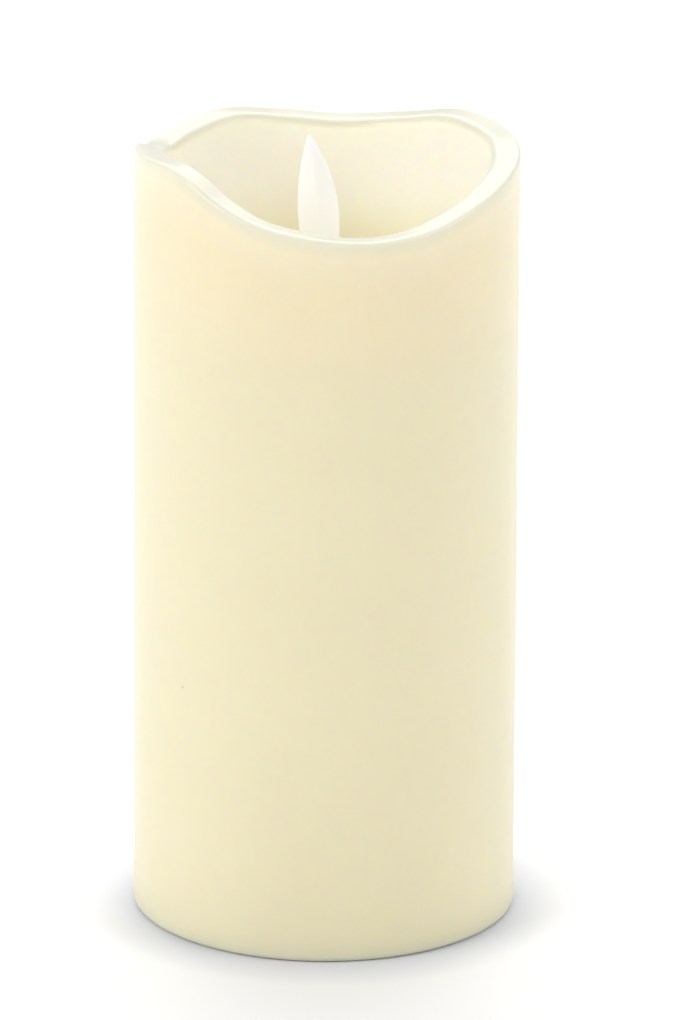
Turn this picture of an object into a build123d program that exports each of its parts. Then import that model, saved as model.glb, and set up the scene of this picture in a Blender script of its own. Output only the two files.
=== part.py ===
from build123d import *
from math import cos, hypot, radians, sin, tan
import os

os.makedirs("parts", exist_ok=True)

# Flameless pillar candle with a swinging flame, in millimetres.
# Origin at the centre of the wax ring that it stands on, +Z up, front towards -Y.

# ---------------------------------------------------------------- driving dimensions
# Wax pillar
pillar_radius = 37.5
pillar_height = 156.3  # to the highest crest of the rim
wax_wall = 6.0
lip_thickness = 6.0
bowl_depth = 36.3  # crest to bowl floor
bowl_taper = 0.9  # the bowl narrows by this much towards its floor
bowl_corner = 9.0
floor_thickness = 5.0
foot_round = 1.2
# Melted rim: angle from +X seen from above, and drop below the highest crest
rim_wave = [
    (-160, 0.9), (-146, 0.0), (-136, 1.2), (-125, 4.4), (-110, 7.8), (-91, 9.8), (-74, 10.4),
    (-56, 9.2), (-38, 6.5), (-15, 3.7), (8, 2.3), (26, 2.1), (45, 2.3), (65, 4.9),
    (86, 6.4), (105, 5.2), (124, 3.7), (146, 4.7), (162, 5.0), (178, 2.2),
]

# Core tube under the wax
wax_fit = 0.2
core_wall = 1.3
core_top_thickness = 1.6
collar_wall = 1.2
collar_height = 3.2

# Base plate
base_recess = 0.8  # underside of the base above the wax ring
flange_thickness = 1.6
spigot_height = 1.4
spigot_clearance = 0.3
seat_gap = 0.1
base_screw_inset = 4.8  # from the core's outside to the screw's axis
base_screw_angle = 50.0
boss_radius = 3.0
boss_height = 12.0

# Battery cells, standing head to tail, and their case
cell_radius = 7.15
cell_length = 50.5
cell_nub_radius = 2.7
cell_nub_height = 1.0
cell_gap = 0.9
cell_clearance = 0.6
case_wall = 1.5
case_y = 4.0
contact_height = 3.6  # from a contact plate to the end of its cell
contact_thickness = 0.4
touch_gap = 0.05
contact_plate_x = 10.0
contact_plate_y = 9.0
button_foot_radius = 3.4
button_top_radius = 1.8
tag_width = 2.4
tag_height = 2.2  # above the roof of the case
spring_wire = 0.35
spring_radius = 3.0

# Battery door and its hinge
door_thickness = 1.6
door_margin = 3.4  # beyond the inside of the case, all round
door_gap = 0.2
knuckle_radius = 1.6
knuckle_length = 20.0
hinge_pin_radius = 0.9
hinge_pin_length = 2.4
hinge_clearance = 0.05
swing_gap = 0.3
ear_half = 2.0
latch_width = 8.0
latch_thickness = 1.1
latch_length = 3.0
latch_bead = 0.3
door_corner = 1.5
door_grip_width = 9.0
scoop_radius = 4.8

# Slide switch
switch_travel = 2.0  # each way from the middle
switch_y = -19.0
switch_length = 10.5
switch_width = 5.4
switch_height = 4.2
switch_wall = 0.5
knob_length = 7.0
knob_width = 4.6
knob_depth = 1.5
knob_gap = 0.4
stem_length = 2.4
stem_width = 1.8
terminal_height = 3.4
terminal_pitch = 2.5

# Flame and its pivot
flame_lean = 3.5  # degrees to the left at rest
flame_width = 8.5
flame_thickness = 3.4
flame_height = 45.0  # above the pivot
neck_width = 5.0
neck_thickness = 3.0
tail_length = 15.0
pivot_depth = 1.2  # below the top of the housing
wire_radius = 0.4
wire_clearance = 0.05
wire_fit = 0.01
magnet_radius = 3.0
magnet_height = 6.0
magnet_offset = -0.46  # sideways on the tail, which sets the lean

# Flame housing, coil and lamp
housing_height = 36.2
housing_wall = 1.4
well_width = 16.0
well_depth = 8.4
split_gap = 0.05
coil_radius = 7.6
coil_height = 10.0
coil_clearance = 0.4
ear_radius = 2.6
flange_drop = 4.0
flange_reach = 20.5
lamp_tilt = 18.0
lamp_radius = 2.5
lamp_length = 8.6
lamp_flange = 0.4
lamp_clearance = 0.05
sleeve_wall = 1.0

# Circuit board
board_length = 34.0
board_width = 22.0
board_thickness = 1.6
board_standoff = 4.0
lead_radius = 0.55

# ---------------------------------------------------------------- worked-out places
floor_z = pillar_height - bowl_depth
ceiling_z = floor_z - floor_thickness
bowl_radius = pillar_radius - lip_thickness
cavity_radius = pillar_radius - wax_wall
core_radius = cavity_radius - wax_fit
core_bore = core_radius - core_wall
core_top_z = ceiling_z - seat_gap
core_under_z = core_top_z - core_top_thickness
flange_top_z = base_recess + flange_thickness
base_top_z = flange_top_z + spigot_height
core_foot_z = flange_top_z + seat_gap

cell_x = cell_radius + cell_gap / 2
case_radius = cell_radius + cell_clearance
case_length = 2 * (cell_x + case_radius)
case_width = 2 * case_radius
door_inner_z = base_recess + door_thickness
cell_foot_z = door_inner_z + contact_thickness + contact_height
cell_head_z = cell_foot_z + cell_length
case_under_z = cell_head_z + contact_height + contact_thickness
case_top_z = case_under_z + case_wall

door_half_x = case_length / 2 + door_margin
door_front_y = case_y - case_width / 2 - door_margin
hinge_y = case_y + case_width / 2 + 1.6
hinge_z = base_recess + knuckle_radius
door_back_y = hinge_y - hypot(ear_half, knuckle_radius) - swing_gap

housing_top_z = core_under_z
housing_foot_z = housing_top_z - housing_height
pivot_z = housing_top_z - pivot_depth
housing_half_x = well_width / 2 + housing_wall
housing_half_y = well_depth / 2 + housing_wall
drum_radius = coil_radius + coil_clearance + housing_wall
coil_foot_z = housing_foot_z + housing_wall + coil_clearance / 2
coil_lead_y = coil_radius - 1.6
drum_top_z = coil_foot_z + coil_height + coil_clearance + housing_wall

board_z = case_top_z + board_standoff
board_top_z = board_z + board_thickness

# The lamp looks up at the belly of the flame
belly_z = pivot_z + 0.64 * flame_height
lamp_direction = Vector(0, sin(radians(lamp_tilt)), cos(radians(lamp_tilt)))
lamp_tip = Vector(0, -(belly_z - housing_top_z) * tan(radians(lamp_tilt)), housing_top_z)
lamp_foot = lamp_tip - lamp_direction * lamp_length
lamp_plane = Plane(origin=lamp_foot, x_dir=(1, 0, 0), z_dir=lamp_direction)

throat_width = 10.4
throat_front_y = lamp_tip.Y - lamp_radius - 0.9
throat_back_y = well_depth / 2 + 0.8
throat_y = (throat_front_y + throat_back_y) / 2
throat_length = throat_back_y - throat_front_y

LOW = (Align.CENTER, Align.CENTER, Align.MIN)
HIGH = (Align.CENTER, Align.CENTER, Align.MAX)


def finish(builder, node):
    """Label a finished piece and write it."""
    builder.part.label = node
    export_step(builder.part, f"parts/{node}.step")


def slot_block(length, width, low_z, high_z, y=0.0, turn=0.0):
    """An upright block with a slot-shaped outline."""
    with BuildPart() as block:
        with BuildSketch(Plane.XY.offset(low_z)):
            with Locations((0, y)):
                SlotOverall(length, width, rotation=turn)
        extrude(amount=high_z - low_z)
    return block.part


def pan_screw(head_radius, head_height, shank_radius, shank_length):
    """A cross-recessed screw: head above Z = 0, shank below it."""
    with BuildPart() as screw:
        Cylinder(head_radius, head_height, align=LOW)
        fillet(screw.edges().sort_by(Axis.Z)[-1], head_height * 0.45)
        with BuildSketch(Plane.XY.offset(head_height)):
            Rectangle(head_radius * 1.1, head_radius * 0.26)
            Rectangle(head_radius * 0.26, head_radius * 1.1)
        extrude(amount=-head_height * 0.55, mode=Mode.SUBTRACT)
        Cylinder(shank_radius, shank_length, align=HIGH)
        chamfer(screw.edges().sort_by(Axis.Z)[0], shank_radius * 0.5)
    return screw.part


def contact_coil(height):
    """A battery spring of round wire, standing on Z = 0."""
    rise = height - 2 * spring_wire
    turns = 3.5
    coil = Helix(rise / turns, rise, spring_radius)
    with BuildPart() as spring:
        with BuildLine(Plane.XY.offset(spring_wire)):
            add(coil)
        with BuildSketch(Plane(origin=(spring_radius, 0, spring_wire), z_dir=(0, 1, 0))):
            Circle(spring_wire)
        sweep(is_frenet=True)
    return spring.part


def lead(points, bend):
    """An insulated wire along straight runs joined by arcs."""
    with BuildPart() as wire:
        with BuildLine() as route:
            FilletPolyline(*points, radius=bend)
        with BuildSketch(Plane(origin=route.line @ 0, z_dir=route.line % 0)):
            Circle(lead_radius)
        sweep()
    return wire.part


# ---------------------------------------------------------------- wax shell
def rim_curve(radius):
    """The crest of the rim as a closed curve at one radius."""
    crest = [
        (radius * cos(radians(angle)), radius * sin(radians(angle)), pillar_height - drop)
        for angle, drop in rim_wave
    ]
    return Spline(*crest, periodic=True).edge()


rim_surface = Face.make_surface_from_curves(
    rim_curve(bowl_radius - 4), rim_curve(pillar_radius + 4)
)
above_rim = Solid.extrude(rim_surface, Vector(0, 0, 30))
throat_hole = slot_block(
    throat_length + 2 * (collar_wall + wax_fit),
    throat_width + 2 * (collar_wall + wax_fit),
    ceiling_z - 1,
    floor_z + 2,
    y=throat_y,
    turn=90,
)

with BuildPart() as wax_shell:
    with BuildSketch(Plane.XZ):
        with BuildLine():
            blank_z = pillar_height + 3
            corner_x = bowl_radius - bowl_taper
            Polyline(
                (corner_x - bowl_corner, floor_z),
                (0, floor_z),
                (0, ceiling_z),
                (cavity_radius, ceiling_z),
                (cavity_radius, 0),
                (pillar_radius, 0),
                (pillar_radius, blank_z),
                (bowl_radius, blank_z),
                (corner_x, floor_z + bowl_corner),
            )
            RadiusArc(
                (corner_x, floor_z + bowl_corner), (corner_x - bowl_corner, floor_z), bowl_corner
            )
        make_face()
    revolve(axis=Axis.Z)
    fillet(wax_shell.edges().group_by(Axis.Z)[0].sort_by(SortBy.RADIUS)[-1], foot_round)
    add(above_rim, mode=Mode.SUBTRACT)
    add(throat_hole, mode=Mode.SUBTRACT)
finish(wax_shell, "wax_shell")

# ---------------------------------------------------------------- core tube
base_screw_radius = core_radius - base_screw_inset
base_screw_places = [
    (base_screw_radius * cos(radians(a)), base_screw_radius * sin(radians(a)))
    for a in (base_screw_angle, 180 - base_screw_angle, 180 + base_screw_angle, -base_screw_angle)
]
base_shank_radius = 1.2
base_shank_length = boss_height + spigot_height - 2
thread_clearance = 0.05
hang_screw_x = housing_half_x + 7.6
hang_screw_y = 4.0
hang_shank_radius = 1.1
hang_hole_depth = flange_drop + 1.0
flange_plate = 1.8

with BuildPart() as core_tube:
    with BuildSketch(Plane.XY.offset(core_foot_z)):
        Circle(core_radius)
    extrude(amount=core_top_z - core_foot_z)
    fillet(core_tube.edges().sort_by(Axis.Z)[-1], core_wall)
    with BuildSketch(Plane.XY.offset(core_foot_z)):
        Circle(core_bore)
    extrude(amount=core_under_z - core_foot_z, mode=Mode.SUBTRACT)
    with BuildSketch(Plane.XY.offset(core_top_z)):
        with Locations((0, throat_y)):
            SlotOverall(
                throat_length + 2 * collar_wall, throat_width + 2 * collar_wall, rotation=90
            )
    extrude(amount=collar_height)
    fillet(core_tube.edges().group_by(Axis.Z)[-1], 0.4)
    with BuildSketch(Plane.XY.offset(core_under_z)):
        with Locations((0, throat_y)):
            SlotOverall(throat_length, throat_width, rotation=90)
    extrude(amount=core_top_thickness + collar_height, mode=Mode.SUBTRACT)
    # bosses for the base screws, each tied to the wall by a web
    with BuildSketch(Plane.XY.offset(base_top_z)):
        with Locations(*base_screw_places):
            Circle(boss_radius)
        for x, y in base_screw_places:
            reach = (core_bore + 0.5) / base_screw_radius
            with BuildLine():
                Line((x, y), (x * reach, y * reach))
            trace(line_width=boss_radius)
    extrude(amount=boss_height)
    with BuildSketch(Plane.XY.offset(base_top_z)):
        with Locations(*base_screw_places):
            Circle(base_shank_radius + thread_clearance)
    extrude(amount=boss_height - 1, mode=Mode.SUBTRACT)
    # bosses that the flame housing hangs from
    with BuildSketch(Plane.XY.offset(core_under_z - flange_drop)):
        with Locations((hang_screw_x, hang_screw_y), (-hang_screw_x, hang_screw_y)):
            Circle(boss_radius)
    extrude(amount=flange_drop)
    with BuildSketch(Plane.XY.offset(core_under_z - flange_drop)):
        with Locations((hang_screw_x, hang_screw_y), (-hang_screw_x, hang_screw_y)):
            Circle(hang_shank_radius + thread_clearance)
    extrude(amount=hang_hole_depth, mode=Mode.SUBTRACT)
finish(core_tube, "core_tube")

# ---------------------------------------------------------------- base cup
countersink_radius = 2.6
countersink_depth = 1.3
knob_pocket_depth = knob_depth + 0.1
knob_pocket_length = knob_length + 2 * (switch_travel + knob_gap)
knob_pocket_width = knob_width + 2 * knob_gap
switch_screw_x = switch_length / 2 + 2.2
switch_ear_radius = 2.0
switch_shank_radius = 0.8
switch_pilot_depth = 2.2
board_screw_x = board_length / 2 - 3.5
board_shank_radius = 0.9
board_post_radius = 2.2
tag_y = case_y + 4.2
hinge_hole_end = knuckle_length / 2 + swing_gap + hinge_pin_length + 0.3
ear_block_length = hinge_pin_length + 1.4

with BuildPart() as base_cup:
    with BuildSketch(Plane.XY.offset(base_recess)):
        Circle(core_radius)
    extrude(amount=flange_thickness)
    chamfer(base_cup.edges().sort_by(Axis.Z)[0], 0.5)
    with BuildSketch(Plane.XY.offset(flange_top_z)):
        Circle(core_bore - spigot_clearance)
    extrude(amount=spigot_height)
    # battery case with a roof
    with BuildSketch(Plane.XY.offset(base_top_z)):
        with Locations((0, case_y)):
            SlotOverall(case_length + 2 * case_wall, case_width + 2 * case_wall)
    extrude(amount=case_top_z - base_top_z)
    with BuildSketch(Plane.XY.offset(case_top_z)):
        with Locations((board_screw_x, case_y), (-board_screw_x, case_y)):
            Circle(board_post_radius)
    extrude(amount=board_standoff)
    # blocks that carry the door's pins
    with BuildSketch(Plane.XY.offset(base_top_z)):
        ear_x = knuckle_length / 2 + swing_gap + ear_block_length / 2
        with Locations((ear_x, hinge_y), (-ear_x, hinge_y)):
            Rectangle(ear_block_length, 2 * ear_half)
    extrude(amount=hinge_z + 2.4 - base_top_z)
    with BuildSketch(Plane.XY.offset(base_recess)):
        with Locations((0, case_y)):
            SlotOverall(case_length, case_width)
    extrude(amount=case_under_z - base_recess, mode=Mode.SUBTRACT)
    # rebate for the door, open to its knuckle at the back
    with BuildSketch(Plane.XY.offset(base_recess)):
        rebate_depth = hinge_y - ear_half - door_front_y + door_gap
        with Locations((0, hinge_y - ear_half - rebate_depth / 2)):
            RectangleRounded(2 * (door_half_x + door_gap), rebate_depth, door_corner)
    extrude(amount=door_thickness + door_gap, mode=Mode.SUBTRACT)
    knuckle_slot = knuckle_length + 2 * swing_gap
    knuckle_room = knuckle_radius + swing_gap
    with BuildSketch(Plane.XY.offset(base_recess)):
        with Locations((0, hinge_y - (ear_half + 1 - knuckle_room) / 2)):
            Rectangle(knuckle_slot, ear_half + 1 + knuckle_room)
    slot_top_z = max(hinge_z, base_recess + door_thickness + door_gap)
    extrude(amount=slot_top_z - base_recess, mode=Mode.SUBTRACT)
    with Locations(Location((0, hinge_y, hinge_z), (0, 90, 0))):
        Cylinder(knuckle_room, knuckle_slot, mode=Mode.SUBTRACT)
        Cylinder(hinge_pin_radius + hinge_clearance, 2 * hinge_hole_end, mode=Mode.SUBTRACT)
    # notch for the latch, and a thumb scoop in front of it
    latch_y = door_front_y + 0.3 + latch_thickness / 2
    with BuildSketch(Plane.XY.offset(base_recess)):
        with Locations((0, latch_y - 0.1)):
            Rectangle(latch_width + 2 * swing_gap, latch_thickness + 0.8)
    extrude(amount=base_top_z - base_recess, mode=Mode.SUBTRACT)
    with Locations((0, door_front_y - 1.0, base_recess - scoop_radius + 1.6)):
        Sphere(scoop_radius, mode=Mode.SUBTRACT)
    # switch pocket, slot for its stem, and pilot holes for its screws
    with BuildSketch(Plane.XY.offset(base_recess)):
        with Locations((0, switch_y)):
            RectangleRounded(knob_pocket_length, knob_pocket_width, 0.8)
    extrude(amount=knob_pocket_depth, mode=Mode.SUBTRACT)
    with BuildSketch(Plane.XY.offset(base_recess)):
        with Locations((0, switch_y)):
            Rectangle(stem_length + 2 * (switch_travel + swing_gap), stem_width + 2 * swing_gap)
    extrude(amount=base_top_z - base_recess, mode=Mode.SUBTRACT)
    with BuildSketch(Plane.XY.offset(base_top_z)):
        with Locations((switch_screw_x, switch_y), (-switch_screw_x, switch_y)):
            Circle(switch_shank_radius + thread_clearance)
    extrude(amount=-switch_pilot_depth, mode=Mode.SUBTRACT)
    # a tick for each place of the switch
    with BuildSketch(Plane.XY.offset(base_recess)):
        with Locations((0, switch_y - knob_pocket_width / 2 - 1.7)):
            with GridLocations(switch_travel * 1.6, 0, 3, 1):
                Rectangle(0.6, 1.6)
    extrude(amount=0.3, mode=Mode.SUBTRACT)
    # countersunk holes for the base screws
    with Locations(*[Location((x, y, base_recess), (180, 0, 0)) for x, y in base_screw_places]):
        CounterSinkHole(base_shank_radius + 0.3, countersink_radius + 0.3)
    # pilot holes for the board's screws and slots for the contact tags
    with BuildSketch(Plane.XY.offset(board_z)):
        with Locations((board_screw_x, case_y), (-board_screw_x, case_y)):
            Circle(board_shank_radius + thread_clearance)
    extrude(amount=-(board_standoff + 0.5), mode=Mode.SUBTRACT)
    with BuildSketch(Plane.XY.offset(case_top_z)):
        with Locations((cell_x, tag_y), (-cell_x, tag_y)):
            Rectangle(tag_width + 0.4, contact_thickness + 0.4)
    extrude(amount=-case_wall, mode=Mode.SUBTRACT)
finish(base_cup, "base_cup")

with BuildPart() as countersunk_screw:
    Cone(base_shank_radius, countersink_radius, countersink_depth, align=HIGH)
    with BuildSketch():
        Rectangle(countersink_radius * 1.1, 0.6)
        Rectangle(0.6, countersink_radius * 1.1)
    extrude(amount=-0.9, mode=Mode.SUBTRACT)
    with Locations((0, 0, -countersink_depth)):
        Cylinder(base_shank_radius, base_shank_length, align=HIGH)
    chamfer(countersunk_screw.edges().sort_by(Axis.Z)[0], 0.6)

with BuildPart() as base_screws:
    head_z = base_recess + 0.25
    with Locations(*[Location((x, y, head_z), (180, 0, 0)) for x, y in base_screw_places]):
        add(countersunk_screw.part)
finish(base_screws, "base_screws")

# ---------------------------------------------------------------- battery cells and contacts
for node, x, nub_up in (
    ("battery_cell_left", -cell_x, True),
    ("battery_cell_right", cell_x, False),
):
    can_foot_z = cell_foot_z if nub_up else cell_foot_z + cell_nub_height
    can_length = cell_length - cell_nub_height
    nub_foot_z = cell_foot_z + can_length if nub_up else cell_foot_z
    with BuildPart() as cell:
        with Locations((x, case_y, can_foot_z)):
            Cylinder(cell_radius, can_length, align=LOW)
        fillet(cell.edges().filter_by(GeomType.CIRCLE), 0.5)
        with Locations((x, case_y, nub_foot_z)):
            Cylinder(cell_nub_radius, cell_nub_height, align=LOW)
        nub_end = cell.edges().sort_by(Axis.Z)[-1 if nub_up else 0]
        fillet(nub_end, 0.3)
    finish(cell, node)

contact_coil_part = contact_coil(contact_height - touch_gap)
button_height = contact_height - touch_gap

with BuildPart() as contact_positive:
    with BuildSketch(Plane.XY.offset(case_under_z)):
        with Locations((-cell_x, case_y)):
            RectangleRounded(contact_plate_x, contact_plate_y, 1)
    extrude(amount=-contact_thickness)
    with Locations(Location((-cell_x, case_y, case_under_z - contact_thickness), (180, 0, 0))):
        Cone(button_foot_radius, button_top_radius, button_height, align=LOW)
    with BuildSketch(Plane.XY.offset(case_under_z - contact_thickness)):
        with Locations((-cell_x, tag_y)):
            Rectangle(tag_width, contact_thickness)
    extrude(amount=contact_thickness + case_wall + tag_height)
finish(contact_positive, "contact_positive")

with BuildPart() as contact_negative:
    with BuildSketch(Plane.XY.offset(case_under_z)):
        with Locations((cell_x, case_y)):
            RectangleRounded(contact_plate_x, contact_plate_y, 1)
    extrude(amount=-contact_thickness)
    with BuildSketch(Plane.XY.offset(case_under_z - contact_thickness)):
        with Locations((cell_x, tag_y)):
            Rectangle(tag_width, contact_thickness)
    extrude(amount=contact_thickness + case_wall + tag_height)
finish(contact_negative, "contact_negative")

with BuildPart() as contact_spring:
    with Locations(Location((cell_x, case_y, case_under_z - contact_thickness), (180, 0, 0))):
        add(contact_coil_part)
finish(contact_spring, "contact_spring")

# ---------------------------------------------------------------- battery door
with BuildPart() as battery_door:
    with BuildSketch(Plane.XY.offset(base_recess)):
        with Locations((0, (door_front_y + door_back_y) / 2)):
            RectangleRounded(2 * door_half_x, door_back_y - door_front_y, door_corner)
        with Locations((0, (door_back_y + hinge_y) / 2 - 0.5)):
            Rectangle(knuckle_length, hinge_y - door_back_y + 1)
    extrude(amount=door_thickness)
    with Locations(Location((0, hinge_y, hinge_z), (0, 90, 0))):
        Cylinder(knuckle_radius, knuckle_length)
        Cylinder(hinge_pin_radius, knuckle_length + 2 * (swing_gap + hinge_pin_length))
    # latch tongue with a bead, and grip ribs above it on the outside
    with BuildSketch(Plane.XY.offset(door_inner_z)):
        with Locations((0, latch_y)):
            Rectangle(latch_width, latch_thickness)
    extrude(amount=latch_length)
    with Locations(Location((0, door_front_y + 0.35, door_inner_z + 1.9), (0, 90, 0))):
        Cylinder(latch_bead, latch_width - 2)
    with BuildSketch(Plane.XY.offset(base_recess)):
        with Locations((0, door_front_y + 3.4)):
            with GridLocations(0, 1.3, 1, 4):
                Rectangle(door_grip_width, 0.55)
    extrude(amount=0.35, mode=Mode.SUBTRACT)
finish(battery_door, "battery_door")

with BuildPart() as bridge_contact:
    with BuildSketch(Plane.XY.offset(door_inner_z)):
        with Locations((0, case_y)):
            SlotOverall(2 * cell_x + contact_plate_y, contact_plate_y)
    extrude(amount=contact_thickness)
    with Locations((cell_x, case_y, door_inner_z + contact_thickness)):
        Cone(button_foot_radius, button_top_radius, button_height, align=LOW)
finish(bridge_contact, "bridge_contact")

with BuildPart() as door_spring:
    with Locations((-cell_x, case_y, door_inner_z + contact_thickness)):
        add(contact_coil_part)
finish(door_spring, "door_spring")

# ---------------------------------------------------------------- slide switch
switch_roof_z = base_top_z + switch_height
with BuildPart() as switch_body:
    with BuildSketch(Plane.XY.offset(base_top_z)):
        with Locations((0, switch_y)):
            SlotOverall(2 * (switch_screw_x + switch_ear_radius), 2 * switch_ear_radius)
    extrude(amount=switch_wall)
    with Locations((0, switch_y, base_top_z)):
        Box(switch_length, switch_width, switch_height, align=LOW)
    fillet(switch_body.edges().group_by(Axis.Z)[-1], 0.4)
    with Locations((0, switch_y, base_top_z)):
        Box(
            switch_length - 2 * switch_wall,
            switch_width - 2 * switch_wall,
            switch_height - switch_wall,
            align=LOW,
            mode=Mode.SUBTRACT,
        )
    with BuildSketch(Plane.XY.offset(base_top_z)):
        with Locations((switch_screw_x, switch_y), (-switch_screw_x, switch_y)):
            Circle(switch_shank_radius + 0.15)
    extrude(amount=switch_wall, mode=Mode.SUBTRACT)
finish(switch_body, "switch_body")

with BuildPart() as switch_terminals:
    with Locations((0, switch_y, switch_roof_z)):
        with GridLocations(terminal_pitch, 0, 4, 1):
            Box(0.8, 0.4, terminal_height, align=LOW)
finish(switch_terminals, "switch_terminals")

switch_screw = pan_screw(1.5, 1.1, switch_shank_radius, switch_wall + switch_pilot_depth - 0.2)
with BuildPart() as switch_screws:
    with Locations(
        (switch_screw_x, switch_y, base_top_z + switch_wall),
        (-switch_screw_x, switch_y, base_top_z + switch_wall),
    ):
        add(switch_screw)
finish(switch_screws, "switch_screws")

knob_foot_z = base_recess - 0.4
with BuildPart() as switch_knob:
    with BuildSketch(Plane.XY.offset(knob_foot_z)):
        with Locations((0, switch_y)):
            RectangleRounded(knob_length, knob_width, 0.6)
    extrude(amount=knob_depth + 0.3)
    with BuildSketch(Plane.XY.offset(knob_foot_z)):
        with Locations((0, switch_y)):
            with GridLocations(1.2, 0, 5, 1):
                Rectangle(0.5, knob_width - 1.2)
    extrude(amount=0.4, mode=Mode.SUBTRACT)
    with BuildSketch(Plane.XY.offset(knob_foot_z + 1)):
        with Locations((0, switch_y)):
            Rectangle(stem_length, stem_width)
    extrude(amount=base_top_z + switch_height - switch_wall - 0.6 - knob_foot_z - 1)
finish(switch_knob, "switch_knob")

# ---------------------------------------------------------------- flame housing
ear_reach_x = housing_half_x + ear_radius - 0.4
ear_heights = (housing_foot_z + 5.5, housing_top_z - 8.5)
ear_places = [(side * ear_reach_x, z) for side in (-1, 1) for z in ear_heights]
ear_depth = 4.0
joint_shank_radius = 1.0
sleeve_length = lamp_length + 6

with BuildPart() as housing_blank:
    with BuildSketch(Plane.XY.offset(housing_foot_z)):
        Rectangle(2 * housing_half_x, 2 * housing_half_y)
    extrude(amount=housing_height)
    fillet(housing_blank.edges().filter_by(Axis.Z), 1.2)
    with Locations((0, 0, housing_foot_z)):
        Cylinder(drum_radius, drum_top_z - housing_foot_z, align=LOW)
    with BuildSketch(Plane.XZ.offset(-ear_depth)):
        with Locations(*ear_places):
            Circle(ear_radius)
    extrude(amount=2 * ear_depth)
    # flange on the rear half, under the bosses of the core tube
    with Locations((0, split_gap, core_under_z - flange_drop)):
        Box(
            2 * flange_reach,
            hang_screw_y + 3.6,
            flange_plate,
            align=(Align.CENTER, Align.MIN, Align.MAX),
        )
    # lamp sleeve on the front half
    with Locations(lamp_plane.location):
        with Locations((0, 0, -1.6)):
            Cylinder(lamp_radius + sleeve_wall, sleeve_length, align=LOW)
    with Locations((0, 0, housing_top_z)):
        Box(60, 60, 10, align=LOW, mode=Mode.SUBTRACT)
    # well for the tail of the flame, and a round chamber for the coil
    with BuildSketch(Plane.XY.offset(drum_top_z - housing_wall - 0.5)):
        Rectangle(well_width, well_depth)
    extrude(amount=housing_height, mode=Mode.SUBTRACT)
    with Locations((0, 0, housing_foot_z + housing_wall)):
        Cylinder(
            coil_radius + coil_clearance,
            coil_height + coil_clearance,
            align=LOW,
            mode=Mode.SUBTRACT,
        )
    with Locations(lamp_plane.location):
        with Locations((0, 0, -3)):
            Cylinder(
                lamp_radius + lamp_clearance, sleeve_length + 3, align=LOW, mode=Mode.SUBTRACT
            )
            Cylinder(
                lamp_radius + lamp_flange + lamp_clearance, 4.1, align=LOW, mode=Mode.SUBTRACT
            )
    # seats of the pivot wire, screw holes, and a hole for the coil's leads
    with BuildSketch(Plane.XZ.offset(-(housing_half_y - 0.5))):
        with Locations((0, pivot_z)):
            Circle(wire_radius)
    extrude(amount=2 * housing_half_y - 1, mode=Mode.SUBTRACT)
    with BuildSketch(Plane.XZ.offset(-ear_depth)):
        with Locations(*ear_places):
            Circle(joint_shank_radius + thread_clearance)
    extrude(amount=2 * ear_depth, mode=Mode.SUBTRACT)
    with BuildSketch(Plane.XY.offset(core_under_z - flange_drop)):
        with Locations((hang_screw_x, hang_screw_y), (-hang_screw_x, hang_screw_y)):
            Circle(hang_shank_radius + 0.2)
    extrude(amount=-flange_plate, mode=Mode.SUBTRACT)
    with BuildSketch(Plane.XY.offset(housing_foot_z)):
        with Locations((0, -coil_lead_y)):
            SlotOverall(6, 2.4)
    extrude(amount=housing_wall, mode=Mode.SUBTRACT)

with BuildPart() as housing_front:
    add(housing_blank.part)
    split(bisect_by=Plane.XZ.offset(split_gap), keep=Keep.TOP)
finish(housing_front, "housing_front")

with BuildPart() as housing_rear:
    add(housing_blank.part)
    split(bisect_by=Plane.XZ.offset(-split_gap), keep=Keep.BOTTOM)
finish(housing_rear, "housing_rear")

joint_screw = pan_screw(2.0, 1.3, joint_shank_radius, 2 * ear_depth - 0.8)
with BuildPart() as housing_screws:
    with Locations(*[Location((x, ear_depth, z), (-90, 0, 0)) for x, z in ear_places]):
        add(joint_screw)
finish(housing_screws, "housing_screws")

hang_screw = pan_screw(2.4, 1.5, hang_shank_radius, flange_plate + hang_hole_depth - 0.4)
hang_head_z = core_under_z - flange_drop - flange_plate
with BuildPart() as hang_screws:
    with Locations(
        Location((hang_screw_x, hang_screw_y, hang_head_z), (180, 0, 0)),
        Location((-hang_screw_x, hang_screw_y, hang_head_z), (180, 0, 0)),
    ):
        add(hang_screw)
finish(hang_screws, "hang_screws")

with BuildPart() as pivot_wire:
    with BuildSketch(Plane.XZ.offset(-(housing_half_y - 0.55))):
        with Locations((0, pivot_z)):
            Circle(wire_radius - wire_fit)
    extrude(amount=2 * housing_half_y - 1.1)
finish(pivot_wire, "pivot_wire")

# ---------------------------------------------------------------- coil
bobbin_core = 2.4
bobbin_cheek = 0.9
with BuildPart() as coil_bobbin:
    with Locations((0, 0, coil_foot_z)):
        Cylinder(bobbin_core, coil_height, align=LOW)
    with Locations((0, 0, coil_foot_z), (0, 0, coil_foot_z + coil_height - bobbin_cheek)):
        Cylinder(coil_radius, bobbin_cheek, align=LOW)
    with Locations((0, 0, coil_foot_z)):
        Cylinder(1.4, coil_height, align=LOW, mode=Mode.SUBTRACT)
finish(coil_bobbin, "coil_bobbin")

with BuildPart() as coil_winding:
    with BuildSketch(Plane.XY.offset(coil_foot_z + bobbin_cheek + 0.05)):
        Circle(coil_radius - 0.7)
        Circle(bobbin_core + 0.05, mode=Mode.SUBTRACT)
    extrude(amount=coil_height - 2 * bobbin_cheek - 0.1)
finish(coil_winding, "coil_winding")

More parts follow.
